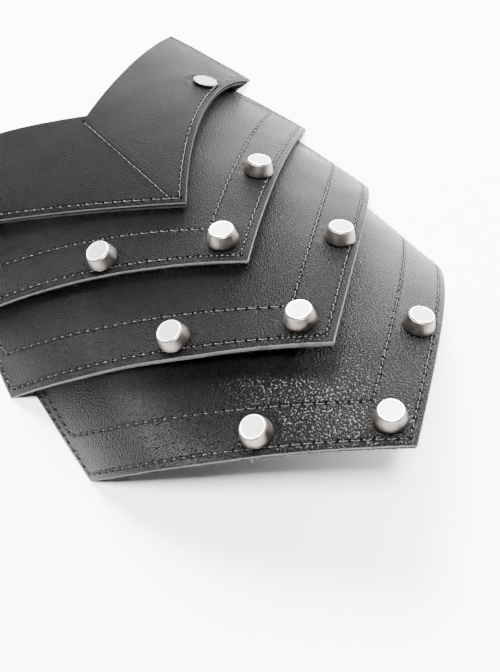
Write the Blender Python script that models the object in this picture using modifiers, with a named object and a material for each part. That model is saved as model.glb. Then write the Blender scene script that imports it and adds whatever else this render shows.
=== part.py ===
"""Spiked shoulder harness: a plain leather cap over three studded lames.

It lies on the cut ends of its wings.  X runs across the ridge, Y along it
towards the neck and Z up.  Every leather piece is one arched strip with a
chevron edge, bent over the ridge and cut off level with the floor.
"""
import math
from collections import namedtuple

import bmesh
import bpy
from mathutils import Matrix, Vector
from mathutils.bvhtree import BVHTree

MM = 0.001

# Leather
LAME_T = 2.8 * MM           # two layers sewn back to back
CAP_T = 3.0 * MM
EDGE_BEVEL = 0.35 * MM      # the rubbed corner of a cut edge
HALF_ARCH = 60 * MM         # distance from the ridge at which the bends below are given
WING_REACH = 118 * MM       # strip length from the ridge, before the floor cuts it
BAND = 57 * MM              # a lame from its lower edge to the edge under its neighbour
CAP_LENGTH = 64 * MM        # the cap along its ridge
LOWER_TIP_Z = 44 * MM       # height of each tip, then how far each lies behind the first
MIDDLE_TIP_Z = 49.8 * MM
UPPER_TIP_Z = 44.2 * MM
CAP_TIP_Z = 39.6 * MM
MIDDLE_TIP_Y = 36.4 * MM
UPPER_TIP_Y = 76.6 * MM
CAP_TIP_Y = 109.6 * MM
MID_Y = 106.6 * MM          # half the whole length: the origin is under the middle
COLUMNS = 26                # faces from the ridge to a wing's end
ROWS = 6                    # faces from the lower edge to the hidden one

# Studs and rivets
STUD_FOOT_R = 5.0 * MM
STUD_TOP_R = 3.75 * MM
STUD_H = 4.6 * MM
STUD_BEVEL = 0.3 * MM
RIVET_HEAD_R = 4.5 * MM
RIVET_HEAD_H = 1.3 * MM
POST_R = 1.6 * MM
BACK_R = 4.5 * MM
BACK_H = 1.2 * MM
GAP = 0.3 * MM              # between pieces that touch in the real thing
BACK_GAP = 0.6 * MM         # under a lame that leans against the post
CAP_RIVET_U = 50 * MM       # distance from the ridge, along the leather
CAP_RIVET_INSET = 8 * MM    # distance behind the lower edge, along the ridge
TURN_STEPS = 20

# rise: how much the ridge climbs towards the arm, in degrees.
# crease, bend and curl: slope at the ridge, in radians, and what the first and
# third power of the distance add to it at HALF_ARCH.
Arch = namedtuple("Arch", "rise crease bend curl")
# How far an edge has run back towards the neck at HALF_ARCH, as a share of it:
# the lower edge by sweep and flare, the first and second power of the distance,
# with another pair on the right where that side differs, and the back edge.
Outline = namedtuple("Outline", "sweep flare right_sweep right_flare back_sweep")
# shift: ridge stud sideways; inset: ridge stud behind the tip; wing_u and
# wing_inset: wing studs from the ridge and behind the lower edge.
Studs = namedtuple("Studs", "shift inset wing_u wing_inset")
Piece = namedtuple("Piece", "name tip_y tip_z length thickness arch outline studs")

PIECES = (
    Piece("lower_lame", 0, LOWER_TIP_Z, BAND, LAME_T,
          Arch(rise=7.2, crease=0, bend=0.47, curl=0.22),
          Outline(0.76, 0.05, 0.76, 0.05, back_sweep=0.81),
          Studs(shift=0, inset=11.0 * MM, wing_u=30.3 * MM, wing_inset=9.0 * MM)),
    Piece("middle_lame", MIDDLE_TIP_Y, MIDDLE_TIP_Z, BAND, LAME_T,
          Arch(rise=13.5, crease=0, bend=0.48, curl=0.10),
          Outline(0.86, 0.04, 0.86, 0.04, back_sweep=0.90),
          Studs(shift=-1.5 * MM, inset=12.0 * MM, wing_u=31.5 * MM, wing_inset=8.5 * MM)),
    Piece("upper_lame", UPPER_TIP_Y, UPPER_TIP_Z, BAND, LAME_T,
          Arch(rise=13.4, crease=0, bend=0.53, curl=0),
          Outline(0.95, -0.05, 0.95, -0.05, back_sweep=0.90),
          Studs(shift=0, inset=13.1 * MM, wing_u=30.8 * MM, wing_inset=8.8 * MM)),
    Piece("shoulder_cap", CAP_TIP_Y, CAP_TIP_Z, CAP_LENGTH, CAP_T,
          Arch(rise=11.7, crease=0.03, bend=0.42, curl=0.05),
          Outline(0.88, 0.15, 1.45, -0.42, back_sweep=0.70),
          studs=None),
)

# Base colour, roughness and metallic value
BLACK_LEATHER = ((0.018, 0.018, 0.02), 0.55, 0.0)
PEWTER = ((0.50, 0.47, 0.42), 0.35, 1.0)


def clear_scene():
    for ob in list(bpy.data.objects):
        bpy.data.objects.remove(ob, do_unlink=True)


def new_collection(name):
    group = bpy.data.collections.new(name)
    bpy.context.scene.collection.children.link(group)
    return group


def give_material(ob, look):
    mat = bpy.data.materials.new(ob.name)
    mat.use_nodes = True
    shader = mat.node_tree.nodes["Principled BSDF"]
    colour, roughness, metallic = look
    shader.inputs["Base Color"].default_value = (*colour, 1)
    shader.inputs["Roughness"].default_value = roughness
    shader.inputs["Metallic"].default_value = metallic
    ob.data.materials.append(mat)


def slope(arch, u):
    """Angle of the leather below level at a distance u from the ridge."""
    t = u / HALF_ARCH
    return arch.crease + arch.bend * t + arch.curl * t ** 3


def across(arch, u, steps=40):
    """Offset sideways and drop of the bent leather at a distance u from the ridge."""
    x = drop = 0.0
    for i in range(steps):
        angle = slope(arch, u * (i + 0.5) / steps)
        x += math.cos(angle) * u / steps
        drop += math.sin(angle) * u / steps
    return x, drop


def lower_edge(piece, u):
    """How far the lower edge has run back at u, which is negative on the left wing."""
    shape = piece.outline
    sweep, flare = (shape.right_sweep, shape.right_flare) if u > 0 else (shape.sweep, shape.flare)
    t = abs(u) / HALF_ARCH
    return HALF_ARCH * (sweep * t + flare * t * t)


def back_edge(piece, u):
    return piece.length + piece.outline.back_sweep * abs(u)


def on_leather(piece, u, v):
    """Point of the outer face, u from the ridge and v behind the tip, and its normal."""
    rise = math.radians(piece.arch.rise)
    side = Vector((math.copysign(1, u), 0, 0))
    along = Vector((0, math.cos(rise), -math.sin(rise)))
    up = Vector((0, math.sin(rise), math.cos(rise)))
    x, drop = across(piece.arch, abs(u))
    tip = Vector((0, piece.tip_y - MID_Y, piece.tip_z))
    angle = slope(piece.arch, abs(u)) if u else 0
    return tip + along * v + side * x - up * drop, side * math.sin(angle) + up * math.cos(angle)


def symmetric(piece):
    shape = piece.outline
    return (shape.sweep, shape.flare) == (shape.right_sweep, shape.right_flare)


def skin(piece):
    """The outer face as a grid laid over the arch: one wing, or both if they differ."""
    start = 0 if symmetric(piece) else -WING_REACH
    bm = bmesh.new()
    bmesh.ops.create_grid(bm, x_segments=COLUMNS if symmetric(piece) else 2 * COLUMNS,
                          y_segments=ROWS, size=0.5)
    for vert in bm.verts:
        u = start + (vert.co.x + 0.5) * (WING_REACH - start)
        front, back = lower_edge(piece, u), back_edge(piece, u)
        vert.co = on_leather(piece, u, front + (vert.co.y + 0.5) * (back - front))[0]
    return bm


def add_modifier(ob, kind, **settings):
    step = ob.modifiers.new(kind.lower(), kind)
    for key, value in settings.items():
        setattr(step, key, value)


def leather_strip(piece, parts):
    """The arched strip, and a search tree of its outer face for the posts."""
    bm = skin(piece)
    tree = BVHTree.FromBMesh(bm)
    mesh = bpy.data.meshes.new(piece.name)
    bm.to_mesh(mesh)
    bm.free()
    ob = bpy.data.objects.new(piece.name, mesh)
    parts.objects.link(ob)
    if symmetric(piece):
        add_modifier(ob, "MIRROR", merge_threshold=0.0001)
    add_modifier(ob, "SOLIDIFY", thickness=piece.thickness, offset=-1, use_even_offset=True)
    add_modifier(ob, "BEVEL", width=EDGE_BEVEL, segments=1, limit_method="ANGLE",
                 angle_limit=math.radians(60))
    mesh.shade_smooth()
    give_material(ob, BLACK_LEATHER)
    return ob, tree


def turned(name, profile, parts, look, place):
    """A solid turned about Z from a profile that runs down its outer side."""
    mesh = bpy.data.meshes.new(name)
    points = [(r, 0, z) for r, z in profile]
    mesh.from_pydata(points, [(i, i + 1) for i in range(len(points) - 1)], [])
    ob = bpy.data.objects.new(name, mesh)
    parts.objects.link(ob)
    ob.matrix_world = place
    add_modifier(ob, "SCREW", steps=TURN_STEPS, render_steps=TURN_STEPS,
                 use_merge_vertices=True, merge_threshold=0.00001)
    give_material(ob, look)


def stud_profile(grip):
    """Truncated cone, post and back plate; z = 0 is the leather's outer face."""
    return [(0, STUD_H), (STUD_TOP_R - STUD_BEVEL, STUD_H), (STUD_TOP_R, STUD_H - STUD_BEVEL),
            (STUD_FOOT_R, GAP + STUD_BEVEL), (STUD_FOOT_R, GAP)] + post_profile(grip)


def rivet_profile(grip):
    """Low flat head, post and back plate."""
    top = GAP + RIVET_HEAD_H
    return [(0, top), (RIVET_HEAD_R - STUD_BEVEL, top), (RIVET_HEAD_R, top - STUD_BEVEL),
            (RIVET_HEAD_R, GAP)] + post_profile(grip)


def post_profile(grip):
    return [(POST_R, GAP), (POST_R, -grip), (BACK_R, -grip), (BACK_R, -grip - BACK_H),
            (0, -grip - BACK_H)]


def facing(point, normal):
    """Transform with local Z along the normal."""
    return Matrix.Translation(point) @ normal.to_track_quat("Z", "Y").to_matrix().to_4x4()


def grip_depth(point, normal, tree, thickness):
    """Depth from the outer face to the back plate, under the leather tucked below if any.

    The tree holds the +X wing alone, so a place on the left is looked up as its mirror.
    """
    if tree is None:
        return thickness + BACK_GAP
    inward = Vector((-abs(normal.x), -normal.y, -normal.z))
    start = Vector((max(abs(point.x), GAP), point.y, point.z)) + inward * GAP
    hit = tree.ray_cast(start, inward)[0]
    return (start - hit).length + GAP + LAME_T + BACK_GAP


def drill(name, place, top, bottom, cutters):
    """Cutter for a post's hole, as deep as the leathers that it passes."""
    bm = bmesh.new()
    bmesh.ops.create_cone(bm, cap_ends=True, segments=TURN_STEPS, radius1=POST_R + GAP,
                          radius2=POST_R + GAP, depth=top - bottom)
    bmesh.ops.translate(bm, verts=bm.verts, vec=(0, 0, (top + bottom) / 2))
    return cutter(name, bm, place, cutters)


def cutter(name, bm, place, cutters):
    mesh = bpy.data.meshes.new(name)
    bm.to_mesh(mesh)
    bm.free()
    ob = bpy.data.objects.new(name, mesh)
    cutters.objects.link(ob)
    ob.matrix_world = place
    ob.hide_render = True
    ob.display_type = "WIRE"
    return ob


def floor_block(cutters):
    """Everything below the floor, to cut the wings off level."""
    bm = bmesh.new()
    bmesh.ops.create_cube(bm, size=1)
    return cutter("floor", bm, Matrix.Translation((0, 0, -0.5)), cutters)


def cut(ob, tool):
    add_modifier(ob, "BOOLEAN", operation="DIFFERENCE", solver="EXACT", object=tool)


def fasten(piece, below, spot, profile, parts, cutters, skins, name):
    """One stud or rivet through its own leather and the one tucked under it."""
    u, inset = spot
    point, normal = on_leather(piece, u, lower_edge(piece, u) + inset)
    tree = skins[below.name][1] if below else None
    grip = grip_depth(point, normal, tree, piece.thickness)
    place = facing(point, normal)
    turned(name, profile(grip), parts, PEWTER, place)
    tool = drill(f"hole_{name}", place, STUD_H, -grip - BACK_H, cutters)
    for leather in (piece, below):
        if leather:
            cut(skins[leather.name][0], tool)


def spots_of(piece):
    """Name, profile and places of what fastens a piece."""
    if piece.studs is None:
        wing = CAP_RIVET_U, CAP_RIVET_INSET
        return "rivet", rivet_profile, {"left": (-wing[0], wing[1]), "right": wing}
    studs = piece.studs
    return "stud", stud_profile, {"ridge": (studs.shift, studs.inset),
                                  "left": (-studs.wing_u, studs.wing_inset),
                                  "right": (studs.wing_u, studs.wing_inset)}


def build():
    clear_scene()
    parts = new_collection("shoulder_harness")
    cutters = new_collection("cutters")
    skins = {piece.name: leather_strip(piece, parts) for piece in PIECES}
    ground = floor_block(cutters)
    for ob, _ in skins.values():
        cut(ob, ground)
    for below, piece in zip((None,) + PIECES[:-1], PIECES):
        label, profile, spots = spots_of(piece)
        for side, spot in spots.items():
            fasten(piece, below, spot, profile, parts, cutters, skins,
                   f"{piece.name}_{label}_{side}")


build()
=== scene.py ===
"""Looks of the spiked shoulder harness: grained leather, stitching, cut edges and cone studs."""
import math
from collections import namedtuple

import bpy
import numpy as np
from mathutils import Matrix, Vector


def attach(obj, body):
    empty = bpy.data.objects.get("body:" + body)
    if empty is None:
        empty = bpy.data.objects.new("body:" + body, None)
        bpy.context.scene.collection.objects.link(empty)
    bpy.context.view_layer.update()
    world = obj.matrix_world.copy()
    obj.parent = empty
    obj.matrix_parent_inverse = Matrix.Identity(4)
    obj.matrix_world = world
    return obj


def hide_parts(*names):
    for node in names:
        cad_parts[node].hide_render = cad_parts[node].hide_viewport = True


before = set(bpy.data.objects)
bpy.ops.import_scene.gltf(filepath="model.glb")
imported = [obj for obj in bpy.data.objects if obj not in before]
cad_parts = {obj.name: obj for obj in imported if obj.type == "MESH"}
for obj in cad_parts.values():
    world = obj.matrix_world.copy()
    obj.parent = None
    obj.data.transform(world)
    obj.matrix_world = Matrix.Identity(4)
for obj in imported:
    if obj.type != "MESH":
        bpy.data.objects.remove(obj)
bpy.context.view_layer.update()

MM = 0.001
BODY = "root"

# The leather's shape, as in the CAD
HALF_ARCH = 60 * MM          # distance from the ridge at which bends and sweeps are given
WING_REACH = 118 * MM
MID_Y = 106.6 * MM
BAND = 57 * MM
CAP_LENGTH = 64 * MM
LAME_T = 2.8 * MM
CAP_T = 3.0 * MM

Arch = namedtuple("Arch", "rise crease bend curl")
Outline = namedtuple("Outline", "sweep flare right_sweep right_flare back_sweep")
Studs = namedtuple("Studs", "shift inset wing_u wing_inset")
Strip = namedtuple("Strip", "name tip_y tip_z length thickness arch outline studs")
STRIPS = (
    Strip("lower_lame", 0, 44 * MM, BAND, LAME_T, Arch(7.2, 0, 0.47, 0.22),
          Outline(0.76, 0.05, 0.76, 0.05, 0.81), Studs(0, 11.0 * MM, 30.3 * MM, 9.0 * MM)),
    Strip("middle_lame", 36.4 * MM, 49.8 * MM, BAND, LAME_T, Arch(13.5, 0, 0.48, 0.10),
          Outline(0.86, 0.04, 0.86, 0.04, 0.90), Studs(-1.5 * MM, 12.0 * MM, 31.5 * MM, 8.5 * MM)),
    Strip("upper_lame", 76.6 * MM, 44.2 * MM, BAND, LAME_T, Arch(13.4, 0, 0.53, 0),
          Outline(0.95, -0.05, 0.95, -0.05, 0.90), Studs(0, 13.1 * MM, 30.8 * MM, 8.8 * MM)),
    Strip("shoulder_cap", 109.6 * MM, 39.6 * MM, CAP_LENGTH, CAP_T, Arch(11.7, 0.03, 0.42, 0.05),
          Outline(0.88, 0.15, 1.45, -0.42, 0.70), None),
)
CAP_RIVET_U = 50 * MM
CAP_RIVET_INSET = 8 * MM

# Studs and rivets, as in the CAD
STUD_FOOT_R = 5.0 * MM
STUD_TOP_R = 3.75 * MM
STUD_H = 4.6 * MM
RIVET_R = 4.5 * MM
POST_R = 1.6 * MM
BACK_R = 4.5 * MM
BACK_H = 1.2 * MM

# Their finer shape, only here
TURN_STEPS = 64
STUD_RIM = 0.26 * MM         # round corner at the top
STUD_FOOT_EDGE = 0.30 * MM   # round corner at the foot
STUD_DISH = 0.06 * MM        # the top is sunk by this inside its lip
STUD_SWELL = 0.10 * MM       # the flank bulges by this
STUD_TOP_LINE = (            # radius, and height over the sunk top, out to the lip
    (0, 0), (2.0 * MM, 0), (3.18 * MM, 0), (3.30 * MM, 0.01 * MM),
)
STUD_NECK = (                # under the lip: how far in from its radius, and below the top
    (0.04 * MM, 0.38 * MM), (0, 0.45 * MM),
)
FLANK_SPAN = (0.13, 0.92)    # the stretch of the flank that is drawn between lip and foot
FLANK_POINTS = 8
FLANK_FOOT = 0.25 * MM       # height at which the flank ends
FOOT_UNDER = 0.5 * MM        # how far in the foot's underside begins
RIVET_H = 1.3 * MM
RIVET_DOME = 0.30 * MM
RIVET_SIDE = (0.85 * MM, 0.25 * MM)
RIVET_EDGE = 0.2 * MM
RIVET_GAP = 0.05 * MM        # over the smooth leather
BACK_EDGE = 0.2 * MM
SHARP_EDGE = math.radians(38)

# Stitching: lines are given by their distance in from the lower edge
Sewing = namedtuple("Sewing", "edge_line inner_line end_line end_inner_line")
SEWING = {
    "lower_lame": Sewing(2.4 * MM, 14.8 * MM, 2.0 * MM, 4.8 * MM),
    "middle_lame": Sewing(2.6 * MM, 14.8 * MM, 2.0 * MM, 4.8 * MM),
    "upper_lame": Sewing(2.7 * MM, 14.8 * MM, 2.0 * MM, 4.8 * MM),
    "shoulder_cap": Sewing(2.2 * MM, None, 2.0 * MM, None),
}
Wander = namedtuple("Wander", "u width drop")
WANDERS = {                  # where a lower edge was cut a little low
    "middle_lame": (Wander(-33 * MM, 10 * MM, 0.75 * MM), Wander(-60 * MM, 14 * MM, 0.4 * MM)),
    "lower_lame": (Wander(-46 * MM, 12 * MM, 0.35 * MM),),
}
STITCH_PITCH = 3.3 * MM
HOLE_LENGTH = 1.15 * MM      # half a stitch hole's length along the seam
HOLE_WIDTH = 0.52 * MM       # half its width
HOLE_DEPTH = 0.55 * MM
THREAD_R = 0.17 * MM
THREAD_SIDES = 6
THREAD_LEAN = 0.16 * MM      # stitches lie a little askew, by this and a random share
LEAN_SPREAD = 0.05 * MM
LIFT_SPREAD = 0.02 * MM
THREAD_SPREAD = (0.85, 1.1)  # of its radius
ASKEW = (0.31, 0.17, 0.93)   # helps to find a direction across a thread or fibre
HUMP_SWELL = 0.35            # a hump's thread is thicker by this share
ThreadPoint = namedtuple("ThreadPoint", "share lift hump")
THREAD_COURSE = (            # one stitch: up from its hole, low along the seam, a hump, down again
    ThreadPoint(0.05, -0.50 * MM, 0), ThreadPoint(0.13, -0.26 * MM, 0),
    ThreadPoint(0.22, -0.24 * MM, 0), ThreadPoint(0.36, -0.24 * MM, 0),
    ThreadPoint(0.52, -0.24 * MM, 0), ThreadPoint(0.64, -0.18 * MM, 0.2),
    ThreadPoint(0.73, 0.10 * MM, 1), ThreadPoint(0.80, 0.10 * MM, 1),
    ThreadPoint(0.90, -0.45 * MM, 0.1),
)
SEAM_U = -2.6 * MM           # the cap's stitched seam, beside its ridge
SEAM_START = 2.2             # it starts at this many times the lower line's distance in
SEAM_END = 3 * MM            # and stops this far from the hidden edge
TRACK_START = 0.03           # rows past its line at which the stitches turn along a wing's end
TRACK_END = 0.96             # row at which they stop
EDGE_POINTS = 200            # points of a seam along the edge, before it is cut into stitches
TRACK_POINTS = 50

# Surface detail
Swell = namedtuple("Swell", "height at width")
SEAM_GROOVE = Swell(-0.13 * MM, 0, 0.40 * MM)
SEAM_BANK = Swell(0.045 * MM, 1.1 * MM, 0.4 * MM)
STUD_DENT = Swell(-0.24 * MM, 4.9 * MM, 1.2 * MM)
STUD_BANK = Swell(0.10 * MM, 7.4 * MM, 1.3 * MM)
STUD_PUCKER = Swell(0.05 * MM, 7.2 * MM, 1.6 * MM)
PUCKERS = 9
PUCKER_SWAY = 1.3            # radians by which they stray from even, and how often round
PUCKER_TURNS = 3
HOLE_RIM = 1.25              # a stitch hole starts this many half sizes from its middle
HOLE_SLOPE = 0.75            # and is full depth this many further in
WAVE_HEIGHT = 0.10 * MM      # slow waves of the whole soft sheet
WAVE_SIZE = 22 * MM
WAVE_COUNT = 7
WAVE_SPREAD = (0.7, 1.9)     # of their sizes
WAVE_SHARE = 4               # their sum is divided by this
EDGE_WANDER = 0.12 * MM      # slow waves of the loose flesh at a cut edge
EDGE_WAVE = 9 * MM
EDGE_SEED = 7
CUT_FRAY = 0.03 * MM         # random raggedness of a cut edge, then what loose flesh adds
FLESH_FRAY = 0.05 * MM
TABLE_STEPS = 1500           # steps in which a bend is added up from the ridge outward
TABLE_NEAR = 20              # the first ones, too near to the ridge to reach the floor
COLUMN_STEP = 0.32 * MM
STITCH_ROW = 0.20 * MM
STUD_ROW = 0.62 * MM
PLAIN_ROW = 1.5 * MM
SEAM_CLOSE = 0.8 * MM        # rows are stitch rows this near to a seam
SEAM_NEAR = 3 * MM
STUD_ZONE = 22 * MM          # and stud rows this near to the lower edge
SEAM_REACH = 2.5 * MM        # how far the distance from a seam is worked out
END_ROW = 0.3                # the row whose ends set the number of columns
FLESH_ROWS = 14

# Loose fibres along the lower cut edges
FIBRE_POINTS = 5
FIBRE_SIDES = 4
FIBRE_ROOT = 0.55 * MM       # how far in under the edge they grow
FIBRE_MIN = 0.2 * MM
FIBRE_CLEAR = 0.1 * MM       # over the floor
FIBRE_END = 1.5 * MM         # clear of the wings' ends
FIBRE_DEPTHS = (0.3, 0.95)   # shares of the thickness between which they grow
FIBRE_LONGEST = 3            # times the mean reach
FIBRE_CURL = 0.5             # spread of the sideways lean, as a share of the length
FIBRE_BEND = 0.6             # how much of a second lean is added toward the tip
FIBRE_DRAW = 0.3             # how much shorter the outward run gets toward the tip
FIBRE_HANG = 0.5             # how far the tip hangs, as a share of the length
HANG_SPREAD = (0.1, 1.6)
FIBRE_TIP = 0.35             # share of the radius left at the tip
FIBRE_SPREAD = (0.8, 1.3)    # of the radius
Fluff = namedtuple("Fluff", "count reach radius tone")
FLUFF = {
    "lower_lame": Fluff(560, 0.50 * MM, 0.055 * MM, 0.20),
    "middle_lame": Fluff(420, 0.28 * MM, 0.04 * MM, 0.06),
    "upper_lame": Fluff(420, 0.28 * MM, 0.04 * MM, 0.06),
    "shoulder_cap": Fluff(420, 0.32 * MM, 0.04 * MM, 0.09),
}

# A cut edge from the grain side to the flesh side: share of the thickness, how far in, how much
# of the raw cut shows, and how much of it is loose flesh, coloured dark: its own tone and painted
# shade.
EdgeStep = namedtuple("EdgeStep", "share inset raw flesh")


def burnished(reach):
    """Rounded pale edge down to a share of the thickness, and loose flesh under it, coloured darker as
    painted shade on top of the flesh's own tone.
    """
    return (
        EdgeStep(0.00, 0.42 * MM, 0, 0),
        EdgeStep(0.02, 0.24 * MM, 0.3, 0),
        EdgeStep(0.06, 0.08 * MM, 1, 0),
        EdgeStep(0.45 * reach, 0.0, 1, 0),
        EdgeStep(0.75 * reach, 0.03 * MM, 1, 0),
        EdgeStep(reach, 0.15 * MM, 0.9, 0),
        EdgeStep(reach + 0.04, 0.34 * MM, 0.3, 0.5),
        EdgeStep(reach + 0.12, 0.46 * MM, 0, 1),
        EdgeStep(0.66, 0.52 * MM, 0, 1),
        EdgeStep(0.82, 0.60 * MM, 0, 1),
        EdgeStep(0.96, 0.78 * MM, 0, 1),
        EdgeStep(1.00, 1.00 * MM, 0, 1),
    )


# The cap's two plies: the dark flesh bands between and under them are partly painted shade.
TWO_PLY = (
    EdgeStep(0.00, 0.36 * MM, 0, 0),
    EdgeStep(0.02, 0.16 * MM, 0.3, 0),
    EdgeStep(0.07, 0.03 * MM, 0.7, 0),
    EdgeStep(0.18, 0.0, 0.7, 0),
    EdgeStep(0.30, 0.06 * MM, 0.5, 0.2),
    EdgeStep(0.36, 0.34 * MM, 0, 1),
    EdgeStep(0.42, 0.36 * MM, 0, 1),
    EdgeStep(0.47, 0.12 * MM, 0.4, 0.3),
    EdgeStep(0.60, 0.05 * MM, 0.55, 0.3),
    EdgeStep(0.82, 0.12 * MM, 0.45, 0.5),
    EdgeStep(0.95, 0.36 * MM, 0, 1),
    EdgeStep(1.00, 0.60 * MM, 0, 1),
)
# The reach is how far down the pale cut goes; below it the edge is coloured dark, partly as painted
# shade.
EDGES = {"lower_lame": burnished(0.28), "middle_lame": burnished(0.68),
         "upper_lame": burnished(0.44), "shoulder_cap": TWO_PLY}
SEEDS = {"lower_lame": 11, "middle_lame": 12, "upper_lame": 13, "shoulder_cap": 14}
EDGE_DRAWS = 100             # added to a strip's seed for each kind of random draw
THREAD_DRAWS = 200
FIBRE_DRAWS = 300


def smooth(x, low, high):
    """0 below low, 1 above high and an even curve between them."""
    t = np.clip((np.asarray(x, float) - low) / (high - low), 0, 1)
    return t * t * (3 - 2 * t)


def bell(x, centre, width):
    """1 at the centre and falling off to 0 on both sides."""
    return np.exp(-((x - centre) / width) ** 2)


def swell(form, distance):
    """Height of a bell-shaped form at a distance."""
    return form.height * bell(distance, form.at, form.width)


class Sheet:
    """One leather strip as a developable surface: (u, v) are distances on the flat leather."""

    def __init__(self, strip):
        self.strip, self.sewing = strip, SEWING[strip.name]
        arch = strip.arch
        self.u_table = np.linspace(0, WING_REACH, TABLE_STEPS)
        t = self.u_table / HALF_ARCH
        self.angle_table = arch.crease + arch.bend * t + arch.curl * t ** 3
        step = self.u_table[1]
        mid = (self.angle_table[1:] + self.angle_table[:-1]) / 2
        self.x_table = np.concatenate([[0], np.cumsum(np.cos(mid)) * step])
        self.drop_table = np.concatenate([[0], np.cumsum(np.sin(mid)) * step])
        rise = math.radians(arch.rise)
        self.along = np.array([0, math.cos(rise), -math.sin(rise)])
        self.up = np.array([0, math.sin(rise), math.cos(rise)])
        self.tip = np.array([0, strip.tip_y - MID_Y, strip.tip_z])
        self.lines = [d for d in (self.sewing.edge_line, self.sewing.inner_line) if d]
        lean = math.hypot(1, strip.outline.sweep)
        self.knots = [0.0] + [d * lean / strip.length for d in self.lines] + [1.0]

    def sweep(self, u):
        """Sweep and flare of the lower edge on u's side."""
        o = self.strip.outline
        right = np.asarray(u) > 0
        return np.where(right, o.right_sweep, o.sweep), np.where(right, o.right_flare, o.flare)

    def front(self, u):
        """v of the lower edge at u, without its wander."""
        sweep, flare = self.sweep(u)
        t = np.abs(u) / HALF_ARCH
        return HALF_ARCH * (sweep * t + flare * t * t)

    def lean(self, u):
        """Distance along the ridge for each unit in from the lower edge."""
        sweep, flare = self.sweep(u)
        return np.sqrt(1 + (sweep + 2 * flare * np.abs(u) / HALF_ARCH) ** 2)

    def row(self, u, w, inset=0.0):
        """v of grid row w at u: 0 is the lower edge, 1 the hidden one, the knots stitch lines."""
        lean = self.lean(u)
        low = sum(x.drop * bell(u, x.u, x.width) for x in WANDERS.get(self.strip.name, ()))
        length = self.strip.length + self.strip.outline.back_sweep * np.abs(u) - self.front(u)
        offsets = [inset * lean - low] + [d * lean for d in self.lines] + [length - inset]
        i = min(sum(w > k for k in self.knots[1:-1]), len(self.knots) - 2)
        t = (w - self.knots[i]) / (self.knots[i + 1] - self.knots[i])
        return self.front(u) + offsets[i] * (1 - t) + offsets[i + 1] * t

    def place(self, u, v, h=0.0):
        """Points and unit normals at (u, v), h above the outer face."""
        u, v, h = np.broadcast_arrays(np.asarray(u, float), np.asarray(v, float), h)
        a, side = np.abs(u), np.where(u < 0, -1.0, 1.0)
        angle = np.where(a < 1e-9, 0, np.interp(a, self.u_table, self.angle_table))
        x = np.interp(a, self.u_table, self.x_table)
        drop = np.interp(a, self.u_table, self.drop_table)
        ex = np.array([1.0, 0, 0])
        normal = (side * np.sin(angle))[..., None] * ex + np.cos(angle)[..., None] * self.up
        point = (self.tip + v[..., None] * self.along + (side * x)[..., None] * ex
                 - drop[..., None] * self.up + h[..., None] * normal)
        return point, normal

    def end(self, side, w, inset=0.0, h=0.0):
        """Distance from the ridge at which row w meets the floor, less the inset."""
        u = side * self.u_table[TABLE_NEAR:]
        z = self.place(u, self.row(u, w, inset), h)[0][:, 2]
        return np.interp(0, -z, self.u_table[TABLE_NEAR:]) - inset

    def grid_line(self, w, inset, h, columns):
        """(u, v) of one row of the grid, from the left end to the right one."""
        u = columns * np.where(columns < 0, self.end(-1, w, inset, h), self.end(1, w, inset, h))
        return np.stack([u, self.row(u, w, inset)], -1)

    def studs(self):
        """Flat (u, v) centres of the studs or rivets, by their side."""
        s = self.strip.studs
        if s is None:
            spots = {"left": (-CAP_RIVET_U, CAP_RIVET_INSET), "right": (CAP_RIVET_U, CAP_RIVET_INSET)}
        else:
            spots = {"ridge": (s.shift, s.inset), "left": (-s.wing_u, s.wing_inset),
                     "right": (s.wing_u, s.wing_inset)}
        return {n: (u, float(self.front(u)) + inset) for n, (u, inset) in spots.items()}


# Seams
def resample(points, pitch):
    """Points a whole number of pitches apart along a flat polyline."""
    points = np.array(points)
    run = np.concatenate([[0], np.cumsum(np.hypot(*np.diff(points, axis=0).T))])
    stops = np.linspace(0, run[-1], max(2, round(run[-1] / pitch) + 1))
    return np.stack([np.interp(stops, run, points[:, i]) for i in (0, 1)], -1)


def seams(sheet):
    """Each row of stitch holes on the leather, from the ridge round to the wing's cut end."""
    paths = []
    ends = (sheet.sewing.end_line, sheet.sewing.end_inner_line)
    for side in (-1, 1):
        for line, knot, end_line in zip(sheet.lines, sheet.knots[1:], ends):
            u = side * np.linspace(1e-7, sheet.end(side, knot) - end_line, EDGE_POINTS)
            edge = np.stack([u, sheet.row(u, knot)], -1)
            w = np.linspace(knot + TRACK_START, TRACK_END, TRACK_POINTS)
            u = side * np.array([sheet.end(side, x) - end_line for x in w])
            track = np.array([(a, float(sheet.row(a, x))) for a, x in zip(u, w)])
            paths.append(resample(np.vstack([edge, track]), STITCH_PITCH))
    if sheet.strip.studs is None:
        v = np.linspace(sheet.lines[0] * SEAM_START, sheet.strip.length - SEAM_END, TRACK_POINTS)
        paths.append(resample(np.stack([np.full(TRACK_POINTS, SEAM_U), v], -1), STITCH_PITCH))
    return paths


def seam_map(flat, paths, reach):
    """For each flat point near a seam: distance from it, and stitches run along it."""
    off, run = np.full(len(flat), reach), np.full(len(flat), 0.5)
    for path in paths:
        for i, (start, stop) in enumerate(zip(path[:-1], path[1:])):
            box = reach + np.abs(stop - start) / 2
            near = np.flatnonzero(np.all(np.abs(flat - (start + stop) / 2) < box, axis=1))
            along = stop - start
            t = np.clip((flat[near] - start) @ along / (along @ along), 0, 1)
            d = np.hypot(*(flat[near] - start - t[:, None] * along).T)
            closer = d < off[near]
            off[near[closer]], run[near[closer]] = d[closer], i + t[closer]
    return off, run


def slow_waves(seed, u, v, size):
    """Smooth undulation of a soft sheet, about -1 to 1."""
    rng = np.random.default_rng(seed)
    total = np.zeros(np.broadcast(u, v).shape)
    for _ in range(WAVE_COUNT):
        heading, phase = rng.uniform(0, math.pi), rng.uniform(0, 2 * math.pi)
        k = 2 * math.pi / (size * rng.uniform(*WAVE_SPREAD))
        total += np.sin(k * (u * math.cos(heading) + v * math.sin(heading)) + phase)
    return total / WAVE_SHARE


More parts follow.
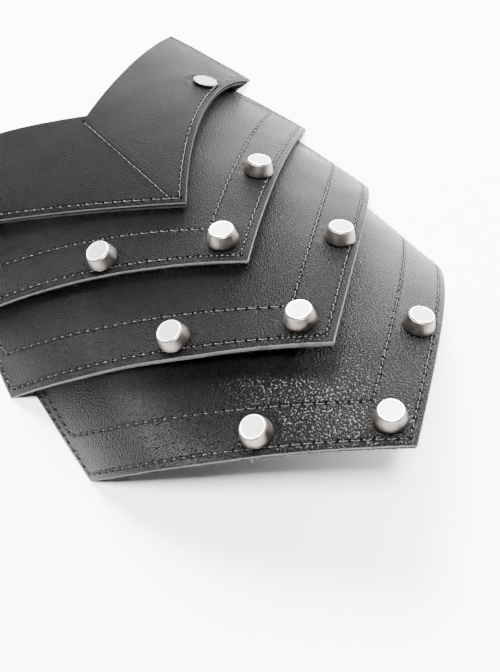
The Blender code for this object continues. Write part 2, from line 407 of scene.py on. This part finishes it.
def relief(sheet, u, v, off, run):
    """Height of the grain side over the smooth arch: seams pulled in, studs pressed in, waves."""
    along = np.abs((run + 0.5) % 1 - 0.5) * STITCH_PITCH
    hole = smooth(HOLE_RIM - along / HOLE_LENGTH - off / HOLE_WIDTH, 0, HOLE_SLOPE)
    height = swell(SEAM_GROOVE, off) + swell(SEAM_BANK, off) - HOLE_DEPTH * hole
    for centre in sheet.studs().values():
        r, turn = np.hypot(u - centre[0], v - centre[1]), np.arctan2(v - centre[1], u - centre[0])
        pleats = np.sin(PUCKERS * turn + PUCKER_SWAY * np.sin(PUCKER_TURNS * turn))
        height += swell(STUD_DENT, r) + swell(STUD_BANK, r) + pleats * swell(STUD_PUCKER, r)
    return height + WAVE_HEIGHT * slow_waves(SEEDS[sheet.strip.name], u, v, WAVE_SIZE)


def row_fractions(sheet):
    """Rows from the lower edge to the hidden one, closest at the stitch lines and studs."""
    length = sheet.strip.length
    close = [k * length for k in sheet.knots[1:-1]]
    stops, d = [0.0], 0.0
    while d < length:
        gap = min(abs(d - line) for line in close)
        if gap < SEAM_CLOSE:
            d += STITCH_ROW
        elif gap < SEAM_NEAR or (sheet.strip.studs and d < STUD_ZONE):
            d += STUD_ROW
        else:
            d += PLAIN_ROW
        stops.append(d)
    return np.array(stops) / stops[-1]


# Meshes
def new_mesh(name, verts, faces):
    """A smooth-shaded object from vertices and faces."""
    mesh = bpy.data.meshes.new(name)
    mesh.from_pydata(np.asarray(verts).tolist(), [], faces)
    mesh.shade_smooth()
    ob = bpy.data.objects.new(name, mesh)
    bpy.context.scene.collection.objects.link(ob)
    return ob


def store(ob, name, values):
    """Keeps one number for each vertex under a name that the shader reads."""
    layer = ob.data.attributes.new(name, "FLOAT", "POINT")
    layer.data.foreach_set("value", np.asarray(values, np.float32))


def store_flat(ob, flat):
    """The flat leather's own coordinates, in millimetres, for grain that has a direction."""
    layer = ob.data.uv_layers.new(name="flat")
    corners = np.empty(len(ob.data.loops), np.int32)
    ob.data.loops.foreach_get("vertex_index", corners)
    layer.data.foreach_set("uv", np.asarray(flat / MM, np.float32)[corners].ravel())


def grid_faces(numbers, flip=False):
    """Quads of a grid of vertex numbers."""
    a, b = numbers[:-1, :-1].ravel(), numbers[:-1, 1:].ravel()
    c, d = numbers[1:, 1:].ravel(), numbers[1:, :-1].ravel()
    order = (a, d, c, b) if flip else (a, b, c, d)
    return np.stack(order, -1).tolist()


def band_faces(above, below):
    """Quads between two closed rings of vertex numbers."""
    return [list(quad) for quad in
            zip(above[1:] + above[:1], above, below, below[1:] + below[:1])]


def perimeter(numbers):
    """Vertex numbers once round a grid."""
    return np.concatenate([numbers[0], numbers[1:, -1], numbers[-1, -2::-1], numbers[-2:0:-1, 0]])


def flesh_faces(numbers, keep):
    """The flesh side with fewer rows: its end faces take in the rim's points between them."""
    faces = []
    for i, j in zip(keep[:-1], keep[1:]):
        faces += grid_faces(numbers[[i, j], 1:-1], flip=True)
        faces.append([*numbers[j:i - 1 if i else None:-1, 0].tolist(), *numbers[[i, j], 1].tolist()])
        faces.append([*numbers[i:j + 1, -1].tolist(), *numbers[[j, i], -2].tolist()])
    return faces


class Shell:
    """Vertices of a closed leather slab with what the shader reads at each of them."""

    def __init__(self, sheet):
        self.sheet, self.banks, self.count = sheet, [], 0

    def add(self, flat, h, raw=0.0, flesh=0.0, off=1.0, run=0.5):
        """Adds a set of points at (u, v) and height h, and returns the first one's number."""
        point = self.sheet.place(flat[:, 0], flat[:, 1], h)[0]
        point[:, 2] = np.maximum(point[:, 2], 0)
        extra = [np.broadcast_to(x, len(flat)) for x in (raw, flesh, off, run)]
        self.banks.append(np.column_stack([point, flat, *extra]))
        self.count += len(flat)
        return self.count - len(flat)

    def build(self, name, faces):
        """The finished object, without the vertices that no face uses."""
        used, corners = np.unique(np.concatenate(faces), return_inverse=True)
        ends = np.cumsum([len(f) for f in faces])[:-1]
        bank = np.vstack(self.banks)[used]
        ob = new_mesh(name, bank[:, :3], [f.tolist() for f in np.split(corners, ends)])
        for layer, column in (("raw", 5), ("flesh", 6), ("off", 7), ("run", 8)):
            store(ob, layer, bank[:, column])
        store_flat(ob, bank[:, 3:5])
        return ob


def leather(sheet, paths):
    """The strip as a closed slab: grain side, shaped cut edge, flesh side."""
    strip, shell = sheet.strip, Shell(sheet)
    steps = EDGES[strip.name]
    rng = np.random.default_rng(SEEDS[strip.name] + EDGE_DRAWS)
    rows = row_fractions(sheet)
    half = [round(sheet.end(side, END_ROW) / COLUMN_STEP) for side in (-1, 1)]
    columns = np.concatenate([np.linspace(-1, 0, half[0]), np.linspace(0, 1, half[1])[1:]])
    numbers = np.arange(len(rows) * len(columns)).reshape(len(rows), -1)
    around = perimeter(numbers)

    def layer(step):
        h = -step.share * strip.thickness
        return np.vstack([sheet.grid_line(w, step.inset, h, columns) for w in rows])

    flat = layer(steps[0])
    off, run = seam_map(flat, paths, SEAM_REACH)
    height = relief(sheet, flat[:, 0], flat[:, 1], off, run)
    top = shell.add(flat, height, off=off / MM, run=run)
    faces = grid_faces(top + numbers)
    loop = (top + around).tolist()
    wander = EDGE_WANDER * slow_waves(EDGE_SEED, flat[around, 0], flat[around, 1], EDGE_WAVE)
    for step in steps[1:-1]:
        flat = layer(step)[around]
        frayed = rng.normal(0, CUT_FRAY + FLESH_FRAY * step.flesh, len(flat))
        flat[:, 1] += frayed + wander * step.share * step.flesh
        h = -step.share * strip.thickness + height[around] * (1 - step.share)
        first = shell.add(flat, h, step.raw, step.flesh)
        ring = list(range(first, first + len(flat)))
        faces += band_faces(loop, ring)
        loop = ring
    flat = layer(steps[-1])
    first = shell.add(flat, -strip.thickness, 0, 1)
    faces += band_faces(loop, (first + around).tolist())
    keep = np.unique(np.round(np.linspace(0, len(rows) - 1, FLESH_ROWS)).astype(int))
    return shell.build(f"{strip.name}_leather", faces + flesh_faces(first + numbers, keep))


def tube(path, radii, sides):
    """Rings of points round a path, closed at both ends, as vertices and faces."""
    tangent = np.gradient(path, axis=0)
    tangent /= np.linalg.norm(tangent, axis=1)[:, None]
    across = np.cross(tangent, ASKEW)
    across /= np.linalg.norm(across, axis=1)[:, None]
    other = np.cross(tangent, across)
    turns = np.arange(sides) * 2 * math.pi / sides
    spokes = (np.cos(turns)[None, :, None] * across[:, None]
              + np.sin(turns)[None, :, None] * other[:, None])
    rings = path[:, None] + np.asarray(radii)[:, None, None] * spokes
    ids = np.arange(len(path) * sides).reshape(len(path), sides)
    faces = grid_faces(np.column_stack([ids, ids[:, 0]]))
    return rings.reshape(-1, 3), faces + [ids[0, ::-1].tolist(), ids[-1].tolist()]


def gather(name, parts):
    """One object from many small vertex and face lists."""
    verts, faces, count = [], [], 0
    for points, polys in parts:
        faces += [[i + count for i in poly] for poly in polys]
        verts.append(points)
        count += len(points)
    return new_mesh(name, np.vstack(verts), faces)


def stitches(sheet, paths):
    """Thread from hole to hole: sunk into the leather, with a hump where it dives in."""
    rng = np.random.default_rng(SEEDS[sheet.strip.name] + THREAD_DRAWS)
    t, lift, hump = np.array(THREAD_COURSE).T
    parts = []
    for path in paths:
        for a, b in zip(path[:-1], path[1:]):
            along = b - a
            side = np.array([-along[1], along[0]]) / np.hypot(*along)
            lean = rng.normal(THREAD_LEAN, LEAN_SPREAD)
            flat = a + t[:, None] * along + side * (lean * (t[:, None] - 0.5) * 2)
            h = lift + rng.normal(0, LIFT_SPREAD)
            radii = THREAD_R * rng.uniform(*THREAD_SPREAD) * (1 + HUMP_SWELL * hump)
            parts.append(tube(sheet.place(flat[:, 0], flat[:, 1], h)[0], radii, THREAD_SIDES))
    ob = gather(f"{sheet.strip.name}_stitches", parts)
    # The hump share also places the thread's painted highlight.
    store(ob, "hump", np.tile(np.repeat(hump, THREAD_SIDES), len(parts)))
    return ob


def fibres(sheet, fluff):
    """Loose fibres that hang from the flesh side of the lower cut edge."""
    strip = sheet.strip
    rng = np.random.default_rng(SEEDS[strip.name] + FIBRE_DRAWS)
    ends = [sheet.end(side, 0) - FIBRE_END for side in (-1, 1)]
    t = np.linspace(0, 1, FIBRE_POINTS)
    parts = []
    for _ in range(fluff.count):
        u = rng.uniform(-ends[0], ends[1])
        share = rng.uniform(*FIBRE_DEPTHS)
        length = min(rng.exponential(fluff.reach), FIBRE_LONGEST * fluff.reach) + FIBRE_MIN
        curl = rng.normal(0, FIBRE_CURL, 2)
        out = FIBRE_ROOT - length * t * (1 - FIBRE_DRAW * t)
        flat_u = u + length * (curl[0] * t + FIBRE_BEND * curl[1] * t ** 2)
        hang = length * FIBRE_HANG * t ** 2 * rng.uniform(*HANG_SPREAD)
        depth = -share * strip.thickness - hang
        path = sheet.place(flat_u, sheet.front(flat_u) + out * sheet.lean(u), depth)[0]
        path[:, 2] = np.maximum(path[:, 2], FIBRE_CLEAR)
        taper = np.linspace(1, FIBRE_TIP, FIBRE_POINTS) * fluff.radius
        parts.append(tube(path, taper * rng.uniform(*FIBRE_SPREAD), FIBRE_SIDES))
    return gather(f"{strip.name}_fibres", parts)


# Studs and rivets
def arc(centre, radius, start, stop, steps):
    """Points on a profile's round corner, from one angle to another in degrees."""
    angles = np.radians(np.linspace(start, stop, steps))
    return [(centre[0] + radius * math.cos(a), centre[1] + radius * math.sin(a)) for a in angles]


def stud_profile():
    """Half outline of a stud's head, from the middle of its top down to its post."""
    dish = STUD_H - STUD_DISH
    top = [(r, dish + rise) for r, rise in STUD_TOP_LINE]
    top += arc((STUD_TOP_R - STUD_RIM, STUD_H - STUD_RIM), STUD_RIM, 100, 0, 6)
    top += [(STUD_TOP_R - inward, STUD_H - drop) for inward, drop in STUD_NECK]
    flank = []
    for t in np.linspace(*FLANK_SPAN, FLANK_POINTS):
        bulge = STUD_SWELL * math.sin(math.pi * t)
        flank.append((STUD_TOP_R + (STUD_FOOT_R - STUD_TOP_R) * t + bulge,
                      STUD_H * (1 - t) + FLANK_FOOT * t))
    foot_middle = (STUD_FOOT_R - STUD_FOOT_EDGE, STUD_FOOT_EDGE)
    foot = arc(foot_middle, STUD_FOOT_EDGE, 20, -60, 5)
    return top + flank + foot + [(STUD_FOOT_R - FOOT_UNDER, 0.0), (POST_R, 0.0)]


def rivet_profile():
    """Half outline of a plain, slightly domed rivet head."""
    dome = [(RIVET_R * t, RIVET_H - RIVET_DOME * t * t) for t in np.linspace(0, 0.93, 8)]
    side = [(RIVET_R, z) for z in RIVET_SIDE]
    return dome + side + [(RIVET_R - RIVET_EDGE, RIVET_GAP), (POST_R, RIVET_GAP)]


def back_profile(low):
    """Post and back plate below the leather, down to the CAD piece's lowest point."""
    inner = low + BACK_H
    return [(POST_R, inner), (BACK_R - BACK_EDGE, inner), (BACK_R, inner - BACK_EDGE),
            (BACK_R, low + BACK_EDGE), (BACK_R - BACK_EDGE, low), (0, low)]


def turned(name, profile, place):
    """Solid of revolution about the local Z axis, closed at both poles."""
    turns = np.arange(TURN_STEPS) * 2 * math.pi / TURN_STEPS
    rings = np.array([[(r * math.cos(a), r * math.sin(a), z) for a in turns]
                      for r, z in profile[1:-1]])
    ids = 1 + np.arange(rings.size // 3).reshape(len(rings), -1)
    last = ids.size + 1
    ids = np.column_stack([ids, ids[:, 0]])
    faces = [[0, a, b] for a, b in zip(ids[0, :-1].tolist(), ids[0, 1:].tolist())]
    faces += grid_faces(ids, flip=True)
    faces += [[b, a, last] for a, b in zip(ids[-1, :-1].tolist(), ids[-1, 1:].tolist())]
    local = np.vstack([[(0, 0, profile[0][1])], rings.reshape(-1, 3), [(0, 0, profile[-1][1])]])
    ob = new_mesh(name, local @ np.array(place.to_3x3()).T + np.array(place.translation), faces)
    ob.data.set_sharp_from_angle(angle=SHARP_EDGE)
    store(ob, "height", local[:, 2] / MM)
    store(ob, "radius", np.hypot(local[:, 0], local[:, 1]) / MM)
    return ob


def grip(node, place):
    """How far below the leather's face the CAD stud reaches along its own axis."""
    inverse = place.inverted()
    ob = bpy.data.objects[node]
    return min((inverse @ (ob.matrix_world @ v.co)).z for v in ob.data.vertices)


# Materials
class Shader:
    """A node tree with one Principled shader, and short ways to add to it."""

    def __init__(self, name, specular=None):
        self.mat = bpy.data.materials.new(name)
        self.mat.use_nodes = True
        self.tree = self.mat.node_tree
        self.main = self.tree.nodes["Principled BSDF"]
        if specular is not None:
            self.main.inputs["Specular IOR Level"].default_value = specular

    def add(self, kind, inputs=None, **settings):
        node = self.tree.nodes.new(kind)
        for key, value in settings.items():
            setattr(node, key, value)
        for key, value in (inputs or {}).items():
            self.feed(node.inputs[key], value)
        return node

    def feed(self, socket, value):
        if isinstance(value, bpy.types.NodeSocket):
            self.tree.links.new(value, socket)
        else:
            socket.default_value = value

    def set(self, **values):
        for key, value in values.items():
            self.feed(self.main.inputs[key.replace("_", " ")], value)

    def attribute(self, name):
        return self.add("ShaderNodeAttribute", attribute_name=name).outputs["Fac"]

    def place(self):
        """Position on the object, in millimetres."""
        coord = self.add("ShaderNodeTexCoord").outputs["Object"]
        return self.add("ShaderNodeMapping", {"Vector": coord, "Scale": (1 / MM,) * 3}
                        ).outputs["Vector"]

    def flat(self, turn=0.0, scale=(1, 1, 1)):
        """Position on the flat leather, in millimetres, turned and stretched."""
        uv = self.add("ShaderNodeUVMap", uv_map="flat").outputs["UV"]
        return self.add("ShaderNodeMapping", {"Vector": uv, "Rotation": (0, 0, turn),
                                              "Scale": scale}).outputs["Vector"]

    def noise(self, place, size, detail=2.0, rough=0.5):
        """Noise whose largest features are size mm across."""
        return self.add("ShaderNodeTexNoise", {"Vector": place, "Scale": 1 / size, "Detail": detail,
                                               "Roughness": rough})

    def math(self, operation, a, b=0.0):
        node = self.add("ShaderNodeMath", operation=operation)
        self.feed(node.inputs[0], a)
        self.feed(node.inputs[1], b)
        return node.outputs[0]

    def remap(self, value, low, high, to_low=0.0, to_high=1.0):
        return self.add("ShaderNodeMapRange", {"Value": value, "From Min": low, "From Max": high,
                                               "To Min": to_low, "To Max": to_high}
                        ).outputs["Result"]

    def mix(self, share, a, b):
        """Colour from a to b."""
        node = self.add("ShaderNodeMix", data_type="RGBA")
        for i, value in ((0, share), (6, a), (7, b)):
            self.feed(node.inputs[i], value)
        return node.outputs[2]

    def blend(self, share, a, b):
        """Number from a to b."""
        node = self.add("ShaderNodeMix", data_type="FLOAT")
        for i, value in ((0, share), (2, a), (3, b)):
            self.feed(node.inputs[i], value)
        return node.outputs[0]

    def bump(self, height, distance=MM):
        return self.add("ShaderNodeBump", {"Height": height, "Distance": distance}).outputs["Normal"]


def grey(value, warmth=0.0):
    """Grey of a linear value, a little redder where warmth is above 0."""
    return (value * (1 + warmth), value, value * (1 - warmth), 1)


# Leather: pebble size in mm, its direction and stretch, its depth in mm, specular level
Look = namedtuple("Look", "cell turn stretch depth gloss")
LEATHER_LOOKS = {
    "lower_lame": Look(0.52, 0.33, 1.2, 0.24, 0.108),
    "middle_lame": Look(0.50, 0.33, 1.08, 0.20, 0.046),
    "upper_lame": Look(0.50, 0.20, 1.05, 0.19, 0.036),
    "shoulder_cap": Look(0.50, 0.0, 1.05, 0.18, 0.015),
}
SATIN = (0.27, 0.36)         # roughness of the grain side
CUT_ROUGH = 0.6
DULL = 0.95
BLACK = (grey(0.0003), grey(0.0010, 0.02))
DUST = grey(0.006)
PAINTED_HOLE_SHADE = grey(0.0004)
CUT = (grey(0.055), grey(0.13, 0.01))
WORN_CUT = grey(0.05)
# Flesh-side colour; on the lower part of a cut edge it also serves as painted shade.
SUEDE_AND_SHADE = (grey(0.004), grey(0.016))
WOBBLE = 0.18                # how far the pebbles stray from their grid
WOBBLE_SIZE = 1.1            # sizes of the noises in mm
FINE_SIZE = 0.16
BROAD_SIZE = 14.0
PATCH_SIZE = 30.0
WEAR_SIZE = 3.5
DUST_SIZE = 0.30
FIBRE_SCALE = (2.2, 5.0, 1)  # the cut's fibres are finer across the edge than along it
PEBBLE_FALL = (0.08, 0.65)   # distance from a pebble's middle over which it falls off
HOLE_SHADE = (1.15, 0.90)    # half sizes from a hole's middle over which its painted shade fades in
GROOVE_SHADE = (0.34, 0.20)  # mm from a seam over which its dark line of painted shade fades in
DUSTY = (0.58, 0.68)         # noise levels between which dust, wear and the raw cut fade in
WORN = (0.42, 0.72)
FRAYED = (0.35, 0.65)
FINE_GRAIN = 0.014           # bump heights in mm
WEAR = 0.035
HOLE_SINK = 0.30
NAP = 0.5
FADED_SIDE = (-60.0, -20.0)  # flat u in mm between which the left wing's grain gets shallower
FADED_DEPTH = 0.8            # down to this share of its depth


def leather_material(name, look):
    """Satin black leather: pebbled grain, raw cut edges, a dark flesh side, and painted shade in the
    stitch holes, along the seams and on the lower part of the cut edges.
    """
    s = Shader(name, specular=look.gloss)
    place = s.place()
    flat = s.flat(look.turn, (1 / look.stretch, 1, 1))
    wobble = s.add("ShaderNodeVectorMath", operation="MULTIPLY_ADD")
    s.feed(wobble.inputs[0], s.noise(flat, WOBBLE_SIZE).outputs["Color"])
    wobble.inputs[1].default_value = (WOBBLE, WOBBLE, 0)
    s.feed(wobble.inputs[2], flat)
    cells = s.add("ShaderNodeTexVoronoi", {"Vector": wobble.outputs[0], "Scale": 1 / look.cell},
                  voronoi_dimensions="2D", feature="F1").outputs["Distance"]
    pebble = s.remap(cells, *PEBBLE_FALL, 1.0, 0.0)
    fine = s.noise(place, FINE_SIZE, detail=1.0).outputs["Fac"]
    broad = s.noise(place, BROAD_SIZE, detail=3.0).outputs["Fac"]
    patches = s.noise(place, PATCH_SIZE, detail=1.0).outputs["Fac"]
    wear = s.noise(place, WEAR_SIZE, detail=4.0, rough=0.65).outputs["Fac"]
    fibre = s.noise(s.flat(scale=FIBRE_SCALE), 1.0, detail=4.0, rough=0.7).outputs["Fac"]

    off, run = s.attribute("off"), s.attribute("run")
    phase = s.math("SUBTRACT", s.math("FRACT", s.math("ADD", run, 0.5)), 0.5)
    along = s.math("MULTIPLY", s.math("ABSOLUTE", phase), STITCH_PITCH / HOLE_LENGTH)
    reach = s.math("ADD", along, s.math("MULTIPLY", off, MM / HOLE_WIDTH))
    hole = s.remap(reach, *HOLE_SHADE)
    groove = s.remap(off, *GROOVE_SHADE)

    raw, flesh = s.attribute("raw"), s.attribute("flesh")
    black = s.mix(broad, *BLACK)
    dusty = s.noise(place, DUST_SIZE, detail=2.0, rough=0.6).outputs["Fac"]
    black = s.mix(s.remap(dusty, *DUSTY), black, DUST)
    # Painted shade: stitch holes and the seam's groove are coloured near black.
    black = s.mix(s.math("MAXIMUM", hole, s.math("MULTIPLY", groove, 0.9)), black, PAINTED_HOLE_SHADE)
    cut = s.mix(fibre, *CUT)
    cut = s.mix(s.remap(wear, *WORN), cut, WORN_CUT)
    suede_and_shade = s.mix(fibre, *SUEDE_AND_SHADE)
    frayed = s.math("ADD", raw, s.math("MULTIPLY", s.math("SUBTRACT", wear, 0.5), 0.5))
    colour = s.mix(s.remap(frayed, *FRAYED), black, cut)
    # The flesh mask turns the colour dark: the suede's own tone, and painted shade on the lower part
    # of the cut edges.
    colour = s.mix(flesh, colour, suede_and_shade)
    satin = s.remap(broad, 0.3, 0.7, *SATIN)
    dull = s.math("MAXIMUM", s.math("MAXIMUM", hole, groove), flesh)
    rough = s.blend(dull, s.blend(raw, satin, CUT_ROUGH), DULL)

    amount = s.remap(patches, 0.35, 0.65, 0.85 * look.depth, 1.15 * look.depth)
    across = s.add("ShaderNodeSeparateXYZ", {"Vector": s.flat()}).outputs["X"]
    amount = s.math("MULTIPLY", amount, s.remap(across, *FADED_SIDE, FADED_DEPTH, 1.0))
    grain = s.math("MULTIPLY", s.math("MULTIPLY", pebble, amount), s.math("SUBTRACT", 1.0, raw))
    height = s.math("ADD", grain, s.math("MULTIPLY", fine, FINE_GRAIN))
    height = s.math("ADD", height, s.math("MULTIPLY", wear, WEAR))
    height = s.math("SUBTRACT", height, s.math("MULTIPLY", hole, HOLE_SINK))
    loose = s.math("MULTIPLY", fibre, s.math("ADD", s.math("MULTIPLY", raw, 0.15), flesh))
    height = s.math("ADD", height, s.math("MULTIPLY", loose, NAP))
    s.set(Base_Color=colour, Roughness=rough, Normal=s.bump(height))
    return s.mat


def thread_material():
    """Black thread, with a painted highlight where it humps out of the seam."""
    s = Shader("black_thread", specular=0.4)
    twist = s.noise(s.place(), 0.25, detail=1.0).outputs["Fac"]
    # Painted highlight: humps are paler than the sunk black thread.
    colour = s.mix(s.attribute("hump"), grey(0.001), s.mix(twist, grey(0.012), grey(0.04)))
    s.set(Base_Color=colour, Roughness=0.4, Normal=s.bump(s.math("MULTIPLY", twist, 0.06)))
    return s.mat


def fibre_material(name, tone):
    """Matt loose fibres of a mean grey tone."""
    s = Shader(name, specular=0.2)
    cloud = s.noise(s.place(), 0.7, detail=1.0).outputs["Fac"]
    s.set(Base_Color=s.mix(cloud, grey(0.4 * tone), grey(1.6 * tone)), Roughness=0.85)
    return s.mat


STUD_TOP = STUD_H / MM
DISC_R = 3.34                # mm: the matt disc inside the stud's lip, whose pale colour is a painted highlight
PEWTER_DISC = ((0.19, 0.187, 0.179, 1), (0.42, 0.415, 0.404, 1))
PEWTER_FLANK = ((0.13, 0.109, 0.096, 1), (0.27, 0.244, 0.228, 1))
PEWTER_FOOT_SHADE = (0.08, 0.066, 0.06, 1)
PEWTER_LINE = (0.16, 0.12, 0.10, 1)
PEWTER_LIP_HIGHLIGHT = (0.88, 0.87, 0.85, 1)
FOOT_SHADE = (0.0, 1.6)      # mm of height over which the painted shade at the foot fades out
LINE_LOW = (4.10, 4.20)      # mm of height between which the dark line under the lip begins
LINE_HIGH = (4.40, 4.32)     # and ends, from the top down


def stud_material():
    """Satin pewter: pale matte top with a painted highlight on its lip, and a warm flank made darker
    at the foot by painted shade.
    """
    s = Shader("pewter_stud")
    place = s.place()
    cloud = s.noise(place, 2.2, detail=4.0, rough=0.6).outputs["Fac"]
    speck = s.noise(place, 0.40, detail=3.0, rough=0.7).outputs["Fac"]
    height, radius = s.attribute("height"), s.attribute("radius")
    on_top = s.remap(height, STUD_TOP - 0.2, STUD_TOP - 0.1)
    on_disc = s.math("MULTIPLY", on_top, s.remap(radius, DISC_R + 0.06, DISC_R - 0.06))
    flank = s.mix(cloud, *PEWTER_FLANK)
    # Painted shade: the flank turns dark near the foot, where the stud meets the leather.
    flank = s.mix(s.remap(height, *FOOT_SHADE, 0.85, 0.0), flank, PEWTER_FOOT_SHADE)
    line = s.math("MULTIPLY", s.remap(height, *LINE_LOW), s.remap(height, *LINE_HIGH))
    flank = s.mix(s.math("MULTIPLY", line, 0.8), flank, PEWTER_LINE)
    # Painted highlight: the rounded lip round the top is coloured near white.
    flank = s.mix(on_top, flank, PEWTER_LIP_HIGHLIGHT)
    colour = s.mix(on_disc, flank, s.mix(speck, *PEWTER_DISC))
    rough = s.blend(on_disc, s.remap(cloud, 0.3, 0.7, 0.34, 0.46), 0.55)
    rise = s.math("ADD", s.math("MULTIPLY", speck, 0.012), s.math("MULTIPLY", cloud, 0.02))
    s.set(Base_Color=colour, Metallic=1.0, Roughness=rough, Normal=s.bump(rise))
    return s.mat


def dress(ob, material):
    """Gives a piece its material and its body."""
    ob.data.materials.clear()
    ob.data.materials.append(material)
    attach(ob, BODY)


# Build
thread = thread_material()
pewter = stud_material()


def build_strip(sheet):
    """One leather strip with its stitches and loose fibres."""
    name = sheet.strip.name
    paths = seams(sheet)
    body = leather(sheet, paths)
    dress(body, leather_material(f"{name}_grain", LEATHER_LOOKS[name]))
    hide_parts(name)
    dress(stitches(sheet, paths), thread)
    fluff = FLUFF[name]
    dress(fibres(sheet, fluff), fibre_material(f"{name}_fluff", fluff.tone))


def build_studs(sheet):
    """The studs of a lame, or the cap's rivets."""
    name = sheet.strip.name
    label, head = ("rivet", rivet_profile()) if sheet.strip.studs is None else ("stud", stud_profile())
    for side, (u, v) in sheet.studs().items():
        point, normal = sheet.place(u, v)
        place = (Matrix.Translation(Vector(point))
                 @ Vector(normal).to_track_quat("Z", "Y").to_matrix().to_4x4())
        node = f"{name}_{label}_{side}"
        ob = turned(f"{node}_metal", head + back_profile(grip(node, place)), place)
        dress(ob, pewter)
        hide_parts(node)


for strip in STRIPS:
    sheet = Sheet(strip)
    build_strip(sheet)
    build_studs(sheet)

# Floor, light and camera
CAMERA_TARGET = Vector((-10.0, -44.5, 30.0)) * MM
CAMERA_DISTANCE = 321.6 * MM
CAMERA_AZIMUTH = math.radians(-36.6)
CAMERA_ELEVATION = math.radians(57.4)
CAMERA_LENS = 57.1           # mm
CAMERA_SENSOR = 36           # mm
CAMERA_NEAR = 10 * MM
FLOOR_HALF = 3.0
FLOOR_WHITE = 0.92
BRIGHT_SIDE = Vector((0.80, 0.60, 0.05)).normalized()
DIM_ROOM = 0.03              # the room's radiance away from the bright side
BRIGHT_ROOM = 22.0
BRIGHT_FROM = 0.40           # cosine from the bright side at which the room starts to brighten
LAMP_DISTANCE = 1.4
Lamp = namedtuple("Lamp", "azimuth elevation size power")
LAMPS = {                    # degrees, degrees, metres, watts
    "front_box": Lamp(-30, 74, 0.30, 88),
    "glint_box": Lamp(158, 57, 0.60, 132),
}


def toward(azimuth, elevation):
    """Unit vector out to a viewpoint, with azimuth 0 in front."""
    return Vector((math.sin(azimuth) * math.cos(elevation),
                   -math.cos(azimuth) * math.cos(elevation), math.sin(elevation)))


def floor():
    """Pale matt floor at z = 0, staging only."""
    corners = [(x * FLOOR_HALF, y * FLOOR_HALF, 0) for x, y in ((-1, -1), (1, -1), (1, 1), (-1, 1))]
    ob = new_mesh("floor", corners, [[0, 1, 2, 3]])
    s = Shader("pale_floor", specular=0.2)
    s.set(Base_Color=grey(FLOOR_WHITE), Roughness=0.8)
    ob.data.materials.append(s.mat)


def soft_box(name, lamp):
    """Square lamp that faces the origin."""
    data = bpy.data.lights.new(name, "AREA")
    data.size = lamp.size
    data.energy = lamp.power
    ob = bpy.data.objects.new(name, data)
    bpy.context.scene.collection.objects.link(ob)
    out = toward(math.radians(lamp.azimuth), math.radians(lamp.elevation))
    ob.location = out * LAMP_DISTANCE
    ob.rotation_euler = out.to_track_quat("Z", "Y").to_euler()


def room():
    """Dim room with one broad bright side, low behind and to the right, that leather reflects."""
    world = bpy.data.worlds.new("studio")
    bpy.context.scene.world = world
    world.use_nodes = True
    tree = world.node_tree
    background = tree.nodes["Background"]
    facing = tree.nodes.new("ShaderNodeVectorMath")
    facing.operation = "DOT_PRODUCT"
    tree.links.new(tree.nodes.new("ShaderNodeTexCoord").outputs["Generated"], facing.inputs[0])
    facing.inputs[1].default_value = BRIGHT_SIDE
    ramp = tree.nodes.new("ShaderNodeMapRange")
    ramp.interpolation_type = "SMOOTHSTEP"
    tree.links.new(facing.outputs["Value"], ramp.inputs["Value"])
    for key, value in (("From Min", BRIGHT_FROM), ("From Max", 1.0), ("To Min", DIM_ROOM),
                       ("To Max", BRIGHT_ROOM)):
        ramp.inputs[key].default_value = value
    tree.links.new(ramp.outputs["Result"], background.inputs["Strength"])
    background.inputs["Color"].default_value = (1, 1, 1, 1)


def camera():
    """The photo's viewpoint."""
    data = bpy.data.cameras.new("camera")
    data.lens = CAMERA_LENS
    data.sensor_width = CAMERA_SENSOR
    data.clip_start = CAMERA_NEAR
    ob = bpy.data.objects.new("camera", data)
    bpy.context.scene.collection.objects.link(ob)
    back = toward(CAMERA_AZIMUTH, CAMERA_ELEVATION)
    ob.location = CAMERA_TARGET + back * CAMERA_DISTANCE
    ob.rotation_euler = back.to_track_quat("Z", "Y").to_euler()
    bpy.context.scene.camera = ob


floor()
room()
for name, lamp in LAMPS.items():
    soft_box(name, lamp)
camera()
